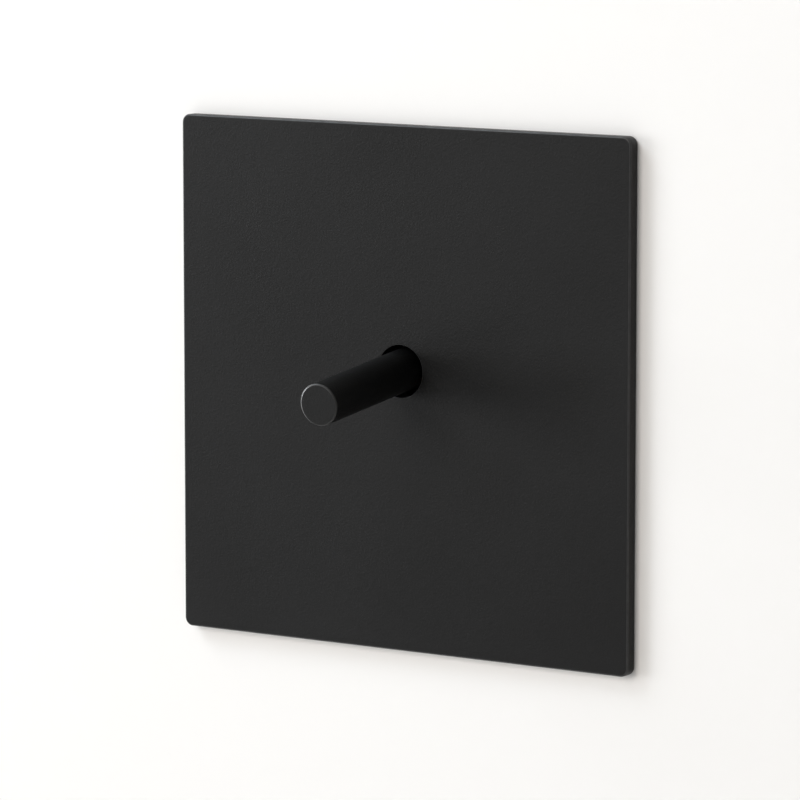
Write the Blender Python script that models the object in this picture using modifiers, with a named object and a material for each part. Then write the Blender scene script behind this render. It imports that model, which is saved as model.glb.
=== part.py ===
"""Single-gang toggle wall switch: a square matt black plate with one round lever.

Metres, +Z up. The wall is the plane y = 0, the room is at -Y and the flush box at +Y. The origin is the
centre of the plate's back. Named sizes are in millimetres; MM turns them into metres.
"""

import math

import bmesh
import bpy
from mathutils import Matrix

MM = 0.001
GAP = 0.3  # left between neighbours that touch on the real switch
CLEAR = 1.0  # how far a cutter reaches past the face that it opens
APART = 0.1  # keeps the faces of two overlapping cutters out of one plane

# Face plate
PLATE_SIDE = 86.0
PLATE_T = 2.2
PLATE_CORNER_R = 1.4
PLATE_EDGE_R = 0.3
POCKET_SIDE = 77.0
POCKET_DEPTH = 1.3
HOLE_R = 4.3
HOLE_Z = 3.0
HOLE_COLLAR_R = 5.3
HOLE_COLLAR_BACK = -0.8

# Snap studs, as (radius, distance towards the room), and the clips that hold them. A clip's foot and tip are
# measured from its stud towards the middle of the switch.
PLATE_STUD_PROFILE = (
    (0, 1.0), (2.5, 1.0), (2.5, 0.5), (1.5, 0.5), (1.5, -1.6), (1.1, -1.8), (1.1, -2.6), (1.6, -3.2),
    (1.6, -3.8), (1.0, -4.6), (0, -4.6),
)
CLIP_LEAF = 0.4
CLIP_BACK = 2.4
CLIP_FOOT = (3.6, 7.4)
CLIP_TIP = -2.6
CLIP_WIDTH = 6.0
FORK_HALF = 1.4

# Toggle lever. It swings about X by the rest tilt each way, and rests with its tip down.
PIVOT_Y = 0.4
PIVOT_Z = HOLE_Z + 0.33
REST_TILT = math.radians(6.7)
LEVER_R = 3.45
LEVER_REACH = 26.55  # pivot to tip
LEVER_EDGE_R = 0.3
LEVER_HEEL = 2.2  # the thick part ends this far behind the pivot
STUD_R = 1.7
STUD_END = 5.0
PIN_R = 0.8
PIN_HALF = 7.6
PIN_PLAY = 0.1

# Dolly, spring and plunger, measured backwards from the pivot along the lever's axis
DOLLY_TAPER = ((3.9, 4.6), (3.1, 6.0), (2.9, 11.0))  # radius and distance of the outside
DOLLY_CHAMFER = 0.5
DOLLY_WALL = (5.3, 6.1)  # between the threaded bore and the spring's bore
SPRING_BORE_R = 1.95
SPRING_MEAN_R = 1.3
SPRING_WIRE_R = 0.175
SPRING_TURNS = 4.5
SPRING_STEPS = 10  # points in each turn
STEM_START = 8.0
STEM_R = 0.7
STEM_CHAMFER = 0.1
PLUNGER_COLLAR = 9.5
PLUNGER_COLLAR_R = 1.6
PLUNGER_COLLAR_END = 10.7
NOSE_START = 10.9
NOSE_CENTRE = 11.9
NOSE_R = 1.3

# Moving contact: a strip that rocks on a knife edge by the rock angle each way
ROCK = math.radians(6.0)
STRIP_T = 0.8
STRIP_HALF_W = 3.0
STRIP_HALF_L = 10.0
NECK_HALF_W = 1.8
NECK_HALF_L = 1.0
BUTTON_Z = 8.2
BUTTON_R = 1.6
BUTTON_T = 0.9
BUTTON_CROWN = (0.4, 0.25)  # width and height of the slope round a moving button's face
BUTTON_CHAMFER = 0.15
RIVET_R = 0.6
RIVET_HEAD_R = 1.1
RIVET_HEAD_T = 0.5

# Pillar terminals: a block with a square wire hole along Z and a screw from behind
PILLAR_HALF_W = 3.2
PILLAR_LENGTH = 7.0
PILLAR_END_WALL = 1.0
PILLAR_FRONT_WALL = 1.0
PILLAR_SCREW_WALL = 2.2
WIRE_HALF = 2.2
TERMINAL_OFFSET_X = 6.5  # common to the left and lower switched to the right of the centre
TERMINAL_START = 13.2  # distance of each block from the pivot's height
SCREW_R = 1.75
SCREW_CHAMFER = 0.25
TERMINAL_HEAD_R = 2.4
TERMINAL_HEAD_T = 1.7
TERMINAL_HEAD_CHAMFER = 0.2
TERMINAL_SLOT_HALF = 0.35
TERMINAL_SLOT_DEPTH = 0.8

# The strips that join the terminals to the contacts. The common one carries a knife edge between two prongs.
LEAD_HALF_W = 2.3
LEAD_OVERLAP = 0.5  # with the terminal block
BRIDGE_HALF_H = 2.2
BRIDGE_END_X = 3.4
KNIFE_HALF_T = (0.12, 0.9)  # at its edge and at its root
KNIFE_WIDTH = 3.2
PRONG_X = (2.1, 2.8)
PRONG_REACH = 1.9  # in front of the knife's edge
PRONG_HALF_H = 0.5

# Module housing, centred on the pivot's height
HOUSING_HALF_W = 15.0
HOUSING_HALF_H = 22.5
COVER_FRONT = 0.3
COVER_BACK = 4.3
HOUSING_BACK = 26.0
HOUSING_CORNER_R = 1.0
COLLAR_HALF_W = 8.8
COLLAR_HALF_H = 7.5
COLLAR_FRONT = -1.1
LEVER_WELL_R = 5.7
HOUSING_SCREW_X = 12.3
HOUSING_SCREW_Z = 19.2
HOUSING_SCREW_R = 1.25
HOUSING_SCREW_POINT = (0.6, 0.6)  # radius of the end and length of its cone
HOUSING_SCREW_END = 14.2
HOUSING_HEAD_R = 1.9
HOUSING_HEAD_CHAMFER = 0.2
HOUSING_HEAD_FRONT = 0.6
HOUSING_HEAD_BACK = 1.8
HOUSING_SLOT_HALF = 0.25
HOUSING_SLOT_DEPTH = 0.5
CHAMBER_NARROW = 4.6
CHAMBER_WIDE = 9.5
CHAMBER_REACH = 12.5
CHAMBER_STEP = 3.0  # above the pivot's height, where the wide part ends
BOSS_Y = (5.5, 7.5, 7.9)  # where a snap boss's ramp starts and ends, and the boss's back
BOSS_LENGTH = 5.6
BOSS_SHY = 0.2  # how far the crest stays inside the lug's outer face
PANEL_HALF_W = 9.0
PANEL_HALF_H = 5.0
RECESS_DEPTH = 0.4  # of the label panel and of the rings round the screwdriver holes
DRIVER_HOLE_R = 2.8
RING_R = 3.6
GRIP_ROWS = 5
GRIP_PITCH = 1.6
GRIP_START = 8.6  # distance of the first grip groove from the pivot's height
GRIP_DEPTH = 0.5
GRIP_Y = (8.0, 23.0)
POCKET_START = 11.2  # where a terminal's pocket opens into the chamber
POCKET_PLAY = 0.2  # beyond the gap, at a pocket's far end
ENTRY_PLAY = 0.1  # round a wire hole, at its entry in the housing

# Carrier frame
CARRIER_SIDE = 74.0
CARRIER_T = 1.0
CARRIER_CORNER_R = 2.0
LUG_HALF_W = 6.0
LUG_LENGTH = 8.0
LUG_BACK = 10.0
LUG_ROOT = 0.2  # how far the cut behind a lug runs into it
LUG_RELIEF = 0.5  # cut on each side of a lug
LUG_WINDOW_Y = (5.2, 8.2)
LUG_WINDOW_HALF = 3.2
BOX_SCREW_X = 30.15
BOX_SCREW_PROFILE = (
    (0, 0.95), (3.4, 0.95), (3.4, 0.85), (SCREW_R, -0.8), (SCREW_R, -21.4), (1.1, -22.0), (0, -22.0),
)
BOX_SLOT_HALF = 0.4
BOX_SLOT_FLOOR = -0.3
DIMPLE_OUTSIDE = ((0, 0.3), (4.9, 0.3), (3.2, -1.3), (0, -1.3))  # the cone pressed round a box screw
DIMPLE_INSIDE = ((0, 1.6), (4.4, 1.6), (2.1, -0.7), (2.1, -2), (0, -2))
STUD_PITCH = 26.0
STUD_HOLE_R = 2.9
EARTH_X = 20.0
EARTH_Z = -8.0

# Pieces that the EXACT solver leaves with open edges
OPEN_UNDER_EXACT = ("carrier_frame", "moving_contact", "module_cover")

# What follows from the sizes above
PILLAR_DEPTH = PILLAR_FRONT_WALL + 2 * WIRE_HALF + PILLAR_SCREW_WALL
STRIP_FRONT = GAP + STRIP_T
NOSE_Y = PIVOT_Y + NOSE_CENTRE * math.cos(REST_TILT)
NOSE_RISE = NOSE_CENTRE * math.sin(REST_TILT)
ROCKER_Y = NOSE_Y + (NOSE_R + GAP + STRIP_FRONT - NOSE_RISE * math.sin(ROCK)) / math.cos(ROCK)
FIXED_FACE_Y = ROCKER_Y + BUTTON_Z * math.sin(ROCK) + BUTTON_T + BUTTON_R * math.sin(ROCK) + GAP
BUTTON_SEAT = 0.8
STRIP_Y = FIXED_FACE_Y + BUTTON_SEAT + GAP
CHAMBER_BACK = STRIP_Y + STRIP_T + GAP + RIVET_HEAD_T + GAP
WIRE_Y = STRIP_Y + STRIP_T / 2
PILLAR_FRONT = WIRE_Y - WIRE_HALF - PILLAR_FRONT_WALL
PILLAR_BACK = PILLAR_FRONT + PILLAR_DEPTH


# ---------------------------------------------------------------- scene and materials


def clear_scene():
    for obj in list(bpy.data.objects):
        bpy.data.objects.remove(obj, do_unlink=True)


def make_collection(name):
    made = bpy.data.collections.new(name)
    bpy.context.scene.collection.children.link(made)
    return made


def principled(name, colour, roughness, metallic):
    material = bpy.data.materials.new(name)
    material.use_nodes = True
    shader = material.node_tree.nodes["Principled BSDF"]
    shader.inputs["Base Color"].default_value = (*colour, 1.0)
    shader.inputs["Roughness"].default_value = roughness
    shader.inputs["Metallic"].default_value = metallic
    return material


def paint(obj, finish):
    """Gives a piece its own material: (colour, roughness, metallic)."""
    obj.data.materials.clear()
    obj.data.materials.append(principled(obj.name, *finish))


MATT_BLACK = ((0.030, 0.030, 0.030), 0.6, 0.0)
ZINC = ((0.62, 0.63, 0.65), 0.38, 1.0)
SPRING_STEEL = ((0.45, 0.46, 0.48), 0.3, 1.0)
BRASS = ((0.78, 0.58, 0.28), 0.35, 1.0)
COPPER = ((0.80, 0.42, 0.26), 0.35, 1.0)
SILVER = ((0.88, 0.87, 0.85), 0.25, 1.0)
NYLON = ((0.80, 0.80, 0.76), 0.5, 0.0)
COVER_GREY = ((0.55, 0.56, 0.57), 0.5, 0.0)
BASE_GREY = ((0.10, 0.105, 0.11), 0.5, 0.0)


# ---------------------------------------------------------------- shapes


def add(name, mesh, collection, parent=None):
    obj = bpy.data.objects.new(name, mesh)
    collection.objects.link(obj)
    obj.parent = parent
    return obj


def as_cutter(obj):
    obj.hide_render = True
    obj.display_type = "WIRE"
    return obj


def block_mesh(name, low, high):
    """A box between two corners, in millimetres."""
    size = [(b - a) * MM for a, b in zip(low, high)]
    middle = [(a + b) / 2 * MM for a, b in zip(low, high)]
    made = bmesh.new()
    bmesh.ops.create_cube(made, size=1.0)
    bmesh.ops.scale(made, vec=size, verts=made.verts)
    bmesh.ops.translate(made, vec=middle, verts=made.verts)
    mesh = bpy.data.meshes.new(name)
    made.to_mesh(mesh)
    made.free()
    return mesh


def round_edges(mesh, radius, segments, chosen):
    """Rounds the edges that chosen(edge) picks."""
    made = bmesh.new()
    made.from_mesh(mesh)
    edges = [edge for edge in made.edges if chosen(edge)]
    bmesh.ops.bevel(made, geom=edges, offset=radius * MM, segments=segments, profile=0.5, affect="EDGES")
    made.to_mesh(mesh)
    made.free()


def along_y(edge):
    a, b = (vert.co for vert in edge.verts)
    return abs(a.y - b.y) > abs(a.x - b.x) + abs(a.z - b.z)


def turned(name, profile, collection, parent=None, steps=32):
    """A turned piece about -Y. The profile is (radius, distance towards the room), front end first."""
    mesh = bpy.data.meshes.new(name)
    points = [(radius * MM, 0.0, height * MM) for radius, height in profile]
    mesh.from_pydata(points, [(i, i + 1) for i in range(len(points) - 1)], [])
    obj = add(name, mesh, collection, parent)
    obj.rotation_euler = (math.radians(90), 0, 0)
    screw = obj.modifiers.new("turn", "SCREW")
    screw.steps = steps
    screw.render_steps = steps
    screw.use_merge_vertices = True
    screw.merge_threshold = 0.00001
    return obj


def extruded(name, outline, thickness, to_world, collection, parent=None):
    """A flat outline in millimetres, given a thickness and turned to face its way as a closed mesh."""
    curve = bpy.data.curves.new(name, "CURVE")
    curve.dimensions = "2D"
    curve.fill_mode = "BOTH"
    curve.extrude = thickness * MM / 2
    spline = curve.splines.new("POLY")
    spline.points.add(len(outline) - 1)
    for point, (a, b) in zip(spline.points, outline):
        point.co = (a * MM, b * MM, 0, 1)
    spline.use_cyclic_u = True
    guide = add(name + "_outline", curve, collection)
    bpy.context.view_layer.update()
    mesh = bpy.data.meshes.new_from_object(guide.evaluated_get(bpy.context.evaluated_depsgraph_get()))
    bpy.data.objects.remove(guide)
    made = bmesh.new()
    made.from_mesh(mesh)
    bmesh.ops.remove_doubles(made, verts=made.verts, dist=0.000005)
    made.transform(to_world)
    bmesh.ops.recalc_face_normals(made, faces=made.faces)
    made.to_mesh(mesh)
    made.free()
    return add(name, mesh, collection, parent)


UPRIGHT = Matrix(((1, 0, 0, 0), (0, 0, -1, 0), (0, 1, 0, 0), (0, 0, 0, 1)))  # (x, z) outline, thick along Y
SIDEWAYS = Matrix(((0, 0, 1, 0), (1, 0, 0, 0), (0, 1, 0, 0), (0, 0, 0, 1)))  # (y, z) outline, thick along X
LEVEL = Matrix.Identity(4)  # (x, y) outline, thick along Z


def move(obj, x=0.0, y=0.0, z=0.0):
    obj.location = (x * MM, y * MM, z * MM)
    return obj


def arc(radius, centre, start, end, pieces):
    """Points on an arc in (radius, height), from start to end degrees."""
    angles = [math.radians(start + (end - start) * i / pieces) for i in range(pieces + 1)]
    return [(centre[0] + radius * math.cos(a), centre[1] + radius * math.sin(a)) for a in angles]


class Builder:
    """Keeps the collections and the parents that the functions below share."""

    def __init__(self):
        self.parts = make_collection("toggle_wall_switch")
        self.cutters = make_collection("cutters")
        self.lever_pivot = self.empty("lever_pivot", PIVOT_Y, PIVOT_Z, REST_TILT)
        self.rocker_pivot = self.empty("rocker_pivot", ROCKER_Y, PIVOT_Z, -ROCK)

    def empty(self, name, y, z, tilt):
        pivot = bpy.data.objects.new(name, None)
        self.parts.objects.link(pivot)
        pivot.location = (0, y * MM, z * MM)
        pivot.rotation_euler = (tilt, 0, 0)
        return pivot

    def modify(self, obj, other, operation):
        boolean = obj.modifiers.new(operation.lower(), "BOOLEAN")
        boolean.operation = operation
        boolean.solver = "MANIFOLD" if obj.name in OPEN_UNDER_EXACT else "EXACT"
        boolean.object = as_cutter(other)

    def cut_block(self, obj, low, high, parent=None):
        name = f"{obj.name}_cut{len(obj.modifiers)}"
        self.modify(obj, add(name, block_mesh(name, low, high), self.cutters, parent), "DIFFERENCE")

    def join_block(self, obj, low, high):
        name = f"{obj.name}_join{len(obj.modifiers)}"
        self.modify(obj, add(name, block_mesh(name, low, high), self.cutters), "UNION")

    def cut_turned(self, obj, profile, x=0.0, y=0.0, z=0.0, parent=None, steps=32):
        name = f"{obj.name}_cut{len(obj.modifiers)}"
        cutter = turned(name, profile, self.cutters, parent, steps)
        self.modify(obj, move(cutter, x, y, z), "DIFFERENCE")

    def join_turned(self, obj, profile, x=0.0, y=0.0, z=0.0, steps=32):
        name = f"{obj.name}_join{len(obj.modifiers)}"
        self.modify(obj, move(turned(name, profile, self.cutters, None, steps), x, y, z), "UNION")

    def cut_hole(self, obj, radius, front, back, x=0.0, z=0.0, steps=32, parent=None):
        """A round hole along Y from y = front to y = back."""
        profile = [(0, -front), (radius, -front), (radius, -back), (0, -back)]
        self.cut_turned(obj, profile, x=x, z=z, parent=parent, steps=steps)


# ---------------------------------------------------------------- face plate


def build_face_plate(builder):
    half = PLATE_SIDE / 2
    mesh = block_mesh("face_plate", (-half, -PLATE_T, -half), (half, 0, half))
    round_edges(mesh, PLATE_CORNER_R, 6, along_y)
    front = -PLATE_T * MM + 1e-6
    round_edges(mesh, PLATE_EDGE_R, 3, lambda edge: all(vert.co.y < front for vert in edge.verts))
    plate = add("face_plate", mesh, builder.parts)
    pocket = POCKET_SIDE / 2
    builder.cut_block(plate, (-pocket, -POCKET_DEPTH, -pocket), (pocket, CLEAR, pocket))
    inside = (POCKET_DEPTH + PLATE_T) / 2
    collar = [(0, inside), (HOLE_COLLAR_R, inside), (HOLE_COLLAR_R, -HOLE_COLLAR_BACK), (0, -HOLE_COLLAR_BACK)]
    builder.join_turned(plate, collar, z=HOLE_Z, steps=48)
    builder.cut_hole(plate, HOLE_R, -PLATE_T - CLEAR, CLEAR, z=HOLE_Z, steps=64)
    paint(plate, MATT_BLACK)


def build_plate_studs(builder):
    """Brass snap studs, whose flanges are soldered to the back of the plate."""
    for side, x in (("left", -STUD_PITCH), ("right", STUD_PITCH)):
        for level, z in (("lower", -STUD_PITCH), ("upper", STUD_PITCH)):
            stud = turned(f"plate_stud_{level}_{side}", PLATE_STUD_PROFILE, builder.parts, steps=16)
            paint(move(stud, x=x, z=z), BRASS)


def build_stud_clips(builder):
    """Spring-steel clips, spot-welded to the carrier, whose forks grip the groove of each stud."""
    near, far = CLIP_FOOT
    front, back = CLIP_BACK - CLIP_LEAF, CLIP_BACK
    outline = [
        (near, GAP), (far, GAP), (far, GAP + CLIP_LEAF), (near + CLIP_LEAF, GAP + CLIP_LEAF),
        (near + CLIP_LEAF, back), (CLIP_TIP, back), (CLIP_TIP, front), (near, front),
    ]
    for side, x in (("left", -STUD_PITCH), ("right", STUD_PITCH)):
        for level, z in (("lower", -STUD_PITCH), ("upper", STUD_PITCH)):
            inward = -math.copysign(1, z)
            clip_outline = [(y, z + inward * along) for along, y in outline]
            clip = extruded(f"stud_clip_{level}_{side}", clip_outline, CLIP_WIDTH, SIDEWAYS, builder.parts)
            move(clip, x=x)
            low, high = sorted((z, z + inward * (CLIP_TIP - CLEAR)))
            builder.cut_block(clip, (x - FORK_HALF, front - CLEAR, low), (x + FORK_HALF, back + CLEAR, high))
            builder.cut_hole(clip, FORK_HALF, front - CLEAR, back + CLEAR, x=x, z=z, steps=20)
            paint(clip, SPRING_STEEL)


# ---------------------------------------------------------------- carrier frame


def build_carrier(builder):
    half = CARRIER_SIDE / 2
    mesh = block_mesh("carrier_frame", (-half, -CARRIER_T, -half), (half, 0, half))
    round_edges(mesh, CARRIER_CORNER_R, 3, along_y)
    carrier = add("carrier_frame", mesh, builder.parts)
    half_w, half_h = COLLAR_HALF_W + GAP, COLLAR_HALF_H + GAP
    front = -CARRIER_T - CLEAR
    builder.cut_block(carrier, (-half_w, front, PIVOT_Z - half_h), (half_w, CLEAR, PIVOT_Z + half_h))
    for sign in (-1, 1):
        add_lug(builder, carrier, sign)
    add_screw_dimples(builder, carrier)
    for x in (-STUD_PITCH, STUD_PITCH):
        for z in (-STUD_PITCH, STUD_PITCH):
            builder.cut_hole(carrier, STUD_HOLE_R, front, CLEAR, x=x, z=z, steps=16)
    paint(carrier, ZINC)


def add_lug(builder, carrier, sign):
    """A tongue cut from the sheet and bent back beside the housing, with a window for its snap boss."""
    inner = HOUSING_HALF_W + GAP
    outer = inner + CARRIER_T
    low, high = PIVOT_Z - LUG_HALF_W, PIVOT_Z + LUG_HALF_W
    slot = sorted((sign * (outer - LUG_ROOT), sign * (outer + LUG_LENGTH)))
    builder.cut_block(carrier, (slot[0], -CARRIER_T - CLEAR, low), (slot[1], CLEAR, high))
    left, right = sorted((sign * inner, sign * outer))
    builder.join_block(carrier, (left, -CARRIER_T / 2, low + LUG_RELIEF), (right, LUG_BACK, high - LUG_RELIEF))
    builder.cut_block(
        carrier,
        (left - CLEAR, LUG_WINDOW_Y[0], PIVOT_Z - LUG_WINDOW_HALF),
        (right + CLEAR, LUG_WINDOW_Y[1], PIVOT_Z + LUG_WINDOW_HALF),
    )


def add_screw_dimples(builder, carrier):
    """Cones pressed back into the sheet, so that the countersunk box screws lie flush."""
    for x in (-BOX_SCREW_X, BOX_SCREW_X):
        builder.join_turned(carrier, DIMPLE_OUTSIDE, x=x, steps=24)
    for x in (-BOX_SCREW_X, BOX_SCREW_X):
        builder.cut_turned(carrier, DIMPLE_INSIDE, x=x, steps=24)


# ---------------------------------------------------------------- lever, dolly, plunger


def build_lever(builder):
    tip = LEVER_REACH
    edge = arc(LEVER_EDGE_R, (LEVER_R - LEVER_EDGE_R, tip - LEVER_EDGE_R), 90, 0, 4)
    profile = [
        (0, tip), *edge, (LEVER_R, -LEVER_HEEL), (STUD_R, -LEVER_HEEL), (STUD_R, -STUD_END), (0, -STUD_END),
    ]
    lever = turned("toggle_lever", profile, builder.parts, builder.lever_pivot, steps=40)
    hole_mesh = cross_pin_mesh("pivot_pin_hole", PIN_R + GAP, LEVER_R + CLEAR)
    hole = add("pivot_pin_hole", hole_mesh, builder.cutters)
    move(hole, y=PIVOT_Y, z=PIVOT_Z)
    builder.modify(lever, hole, "DIFFERENCE")
    paint(lever, MATT_BLACK)
    pin = add("pivot_pin", cross_pin_mesh("pivot_pin", PIN_R, PIN_HALF), builder.parts, builder.lever_pivot)
    paint(pin, SPRING_STEEL)


def cross_pin_mesh(name, radius, half):
    """A round bar along X."""
    made = bmesh.new()
    bmesh.ops.create_cone(
        made, cap_ends=True, segments=24, radius1=radius * MM, radius2=radius * MM, depth=2 * half * MM
    )
    made.transform(Matrix.Rotation(math.radians(90), 4, "Y"))
    mesh = bpy.data.meshes.new(name)
    made.to_mesh(mesh)
    made.free()
    return mesh


def build_dolly(builder):
    """The insulating piece between the metal lever and the contacts."""
    front = LEVER_HEEL + GAP
    bore = STUD_R + GAP
    widest, end = DOLLY_TAPER[0][0], DOLLY_TAPER[-1][1]
    profile = [
        (0, -DOLLY_WALL[0]), (bore, -DOLLY_WALL[0]), (bore, -front), (widest - DOLLY_CHAMFER, -front),
        (widest, -front - DOLLY_CHAMFER), *((radius, -back) for radius, back in DOLLY_TAPER),
        (SPRING_BORE_R, -end), (SPRING_BORE_R, -DOLLY_WALL[1]), (0, -DOLLY_WALL[1]),
    ]
    dolly = turned("dolly", profile, builder.parts, builder.lever_pivot, steps=28)
    paint(dolly, NYLON)


def build_plunger(builder):
    nose = arc(NOSE_R, (0, -NOSE_CENTRE), 0, -90, 5)
    profile = [
        (0, -STEM_START), (STEM_R - STEM_CHAMFER, -STEM_START), (STEM_R, -STEM_START - STEM_CHAMFER),
        (STEM_R, -PLUNGER_COLLAR), (PLUNGER_COLLAR_R, -PLUNGER_COLLAR),
        (PLUNGER_COLLAR_R, -PLUNGER_COLLAR_END), (NOSE_R, -NOSE_START), *nose[:-1],
        (0, -NOSE_CENTRE - NOSE_R),
    ]
    plunger = turned("plunger", profile, builder.parts, builder.lever_pivot, steps=16)
    paint(plunger, BRASS)


def build_plunger_spring(builder):
    """A coil about the lever's axis, between the dolly's inner wall and the plunger's collar."""
    start = DOLLY_WALL[1] + GAP + SPRING_WIRE_R
    end = PLUNGER_COLLAR - GAP - SPRING_WIRE_R
    count = int(SPRING_TURNS * SPRING_STEPS)
    curve = bpy.data.curves.new("plunger_spring", "CURVE")
    curve.dimensions = "3D"
    curve.bevel_depth = SPRING_WIRE_R * MM
    curve.bevel_resolution = 2
    curve.use_fill_caps = True
    spline = curve.splines.new("POLY")
    spline.points.add(count)
    for i, point in enumerate(spline.points):
        turn = 2 * math.pi * SPRING_TURNS * i / count
        back = start + (end - start) * i / count
        point.co = (
            SPRING_MEAN_R * math.cos(turn) * MM, back * MM, SPRING_MEAN_R * math.sin(turn) * MM, 1
        )
    spring = add("plunger_spring", curve, builder.parts, builder.lever_pivot)
    paint(spring, SPRING_STEEL)


# ---------------------------------------------------------------- contacts and terminals


def build_moving_contact(builder):
    width, length, neck, notch = STRIP_HALF_W, STRIP_HALF_L, NECK_HALF_W, NECK_HALF_L
    right = [(width, -length), (width, -notch), (neck, -notch), (neck, notch), (width, notch), (width, length)]
    left = [(-x, z) for x, z in reversed(right)]
    strip = extruded("moving_contact", right + left, STRIP_T, UPRIGHT, builder.parts, builder.rocker_pivot)
    move(strip, y=-(GAP + STRIP_T / 2))
    for z in (-BUTTON_Z, BUTTON_Z):
        builder.cut_hole(
            strip, RIVET_R + GAP, -STRIP_FRONT - CLEAR, CLEAR, z=z, steps=20, parent=builder.rocker_pivot
        )
    paint(strip, COPPER)
    head = STRIP_FRONT + GAP
    profile = [
        (0, head + RIVET_HEAD_T), (RIVET_HEAD_R, head + RIVET_HEAD_T), (RIVET_HEAD_R, head), (RIVET_R, head),
        (RIVET_R, 0), (BUTTON_R, 0), (BUTTON_R, BUTTON_CROWN[1] - BUTTON_T),
        (BUTTON_R - BUTTON_CROWN[0], -BUTTON_T), (0, -BUTTON_T),
    ]
    for level, z in (("lower", -BUTTON_Z), ("upper", BUTTON_Z)):
        button = turned(f"moving_button_{level}", profile, builder.parts, builder.rocker_pivot, steps=16)
        paint(move(button, z=z), SILVER)


def build_fixed_buttons(builder):
    seat = -BUTTON_SEAT
    back = seat - 2 * GAP - STRIP_T
    profile = [
        (0, 0), (BUTTON_R - BUTTON_CHAMFER, 0), (BUTTON_R, -BUTTON_CHAMFER), (BUTTON_R, seat), (RIVET_R, seat),
        (RIVET_R, back), (RIVET_HEAD_R, back), (RIVET_HEAD_R, back - RIVET_HEAD_T), (0, back - RIVET_HEAD_T),
    ]
    for level, z in (("lower", -BUTTON_Z), ("upper", BUTTON_Z)):
        button = turned(f"fixed_button_{level}", profile, builder.parts, steps=16)
        paint(move(button, y=FIXED_FACE_Y, z=PIVOT_Z + z), SILVER)


def build_pillar(builder, name, x, front, inner_z, away):
    """A terminal block whose wire hole opens away from inner_z, up for away = 1 and down for -1."""
    outer_z = inner_z + away * PILLAR_LENGTH
    low_z, high_z = sorted((inner_z, outer_z))
    low = (x - PILLAR_HALF_W, front, low_z)
    high = (x + PILLAR_HALF_W, front + PILLAR_DEPTH, high_z)
    mesh = block_mesh(name, low, high)
    pillar = add(name, mesh, builder.parts)
    hole_front = front + PILLAR_FRONT_WALL
    hole_z = sorted((inner_z + away * PILLAR_END_WALL, outer_z + away * CLEAR))
    builder.cut_block(
        pillar, (x - WIRE_HALF, hole_front, hole_z[0]), (x + WIRE_HALF, hole_front + 2 * WIRE_HALF, hole_z[1])
    )
    builder.cut_hole(
        pillar, SCREW_R + GAP, hole_front + WIRE_HALF, front + PILLAR_DEPTH + CLEAR,
        x=x, z=screw_height(inner_z, away), steps=24,
    )
    return pillar


def screw_height(inner_z, away):
    return inner_z + away * (PILLAR_END_WALL + PILLAR_LENGTH) / 2


def build_terminal_screw(builder, name, x, front, z):
    """A slotted screw, backed off just clear of the wire hole."""
    tip = front + PILLAR_FRONT_WALL + 2 * WIRE_HALF + GAP
    seat = front + PILLAR_DEPTH + GAP
    back = seat + TERMINAL_HEAD_T
    head_r, chamfer = TERMINAL_HEAD_R, TERMINAL_HEAD_CHAMFER
    profile = [
        (0, -tip), (SCREW_R - SCREW_CHAMFER, -tip), (SCREW_R, -tip - SCREW_CHAMFER), (SCREW_R, -seat),
        (head_r, -seat), (head_r, chamfer - back), (head_r - chamfer, -back), (0, -back),
    ]
    screw = turned(name, profile, builder.parts, steps=16)
    move(screw, x=x, z=z)
    reach, half, floor = head_r + CLEAR, TERMINAL_SLOT_HALF, back - TERMINAL_SLOT_DEPTH
    builder.cut_block(screw, (x - reach, floor, z - half), (x + reach, back + CLEAR, z + half))
    paint(screw, ZINC)


def build_upper_terminal(builder):
    start = PIVOT_Z + TERMINAL_START
    terminal = build_pillar(builder, "upper_terminal", 0, PILLAR_FRONT, start, 1)
    back = STRIP_Y + STRIP_T
    button = PIVOT_Z + BUTTON_Z
    builder.join_block(
        terminal, (-LEAD_HALF_W, STRIP_Y, button - LEAD_HALF_W), (LEAD_HALF_W, back, start + LEAD_OVERLAP)
    )
    builder.cut_hole(terminal, RIVET_R + GAP, STRIP_Y - CLEAR, back + CLEAR, z=button, steps=20)
    paint(terminal, BRASS)
    build_terminal_screw(builder, "terminal_screw_upper", 0, PILLAR_FRONT, screw_height(start, 1))


def build_lower_terminal(builder):
    x = TERMINAL_OFFSET_X
    start = PIVOT_Z - TERMINAL_START
    terminal = build_pillar(builder, "lower_terminal", x, PILLAR_FRONT, start, -1)
    back = STRIP_Y + STRIP_T
    button = PIVOT_Z - BUTTON_Z
    half = LEAD_HALF_W
    builder.join_block(terminal, (-half, STRIP_Y, button - half), (x + half, back, button + half))
    builder.join_block(terminal, (x - half, STRIP_Y, start - LEAD_OVERLAP), (x + half, back, button))
    builder.cut_hole(terminal, RIVET_R + GAP, STRIP_Y - CLEAR, back + CLEAR, z=button, steps=20)
    paint(terminal, BRASS)
    build_terminal_screw(builder, "terminal_screw_lower", x, PILLAR_FRONT, screw_height(start, -1))


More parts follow.
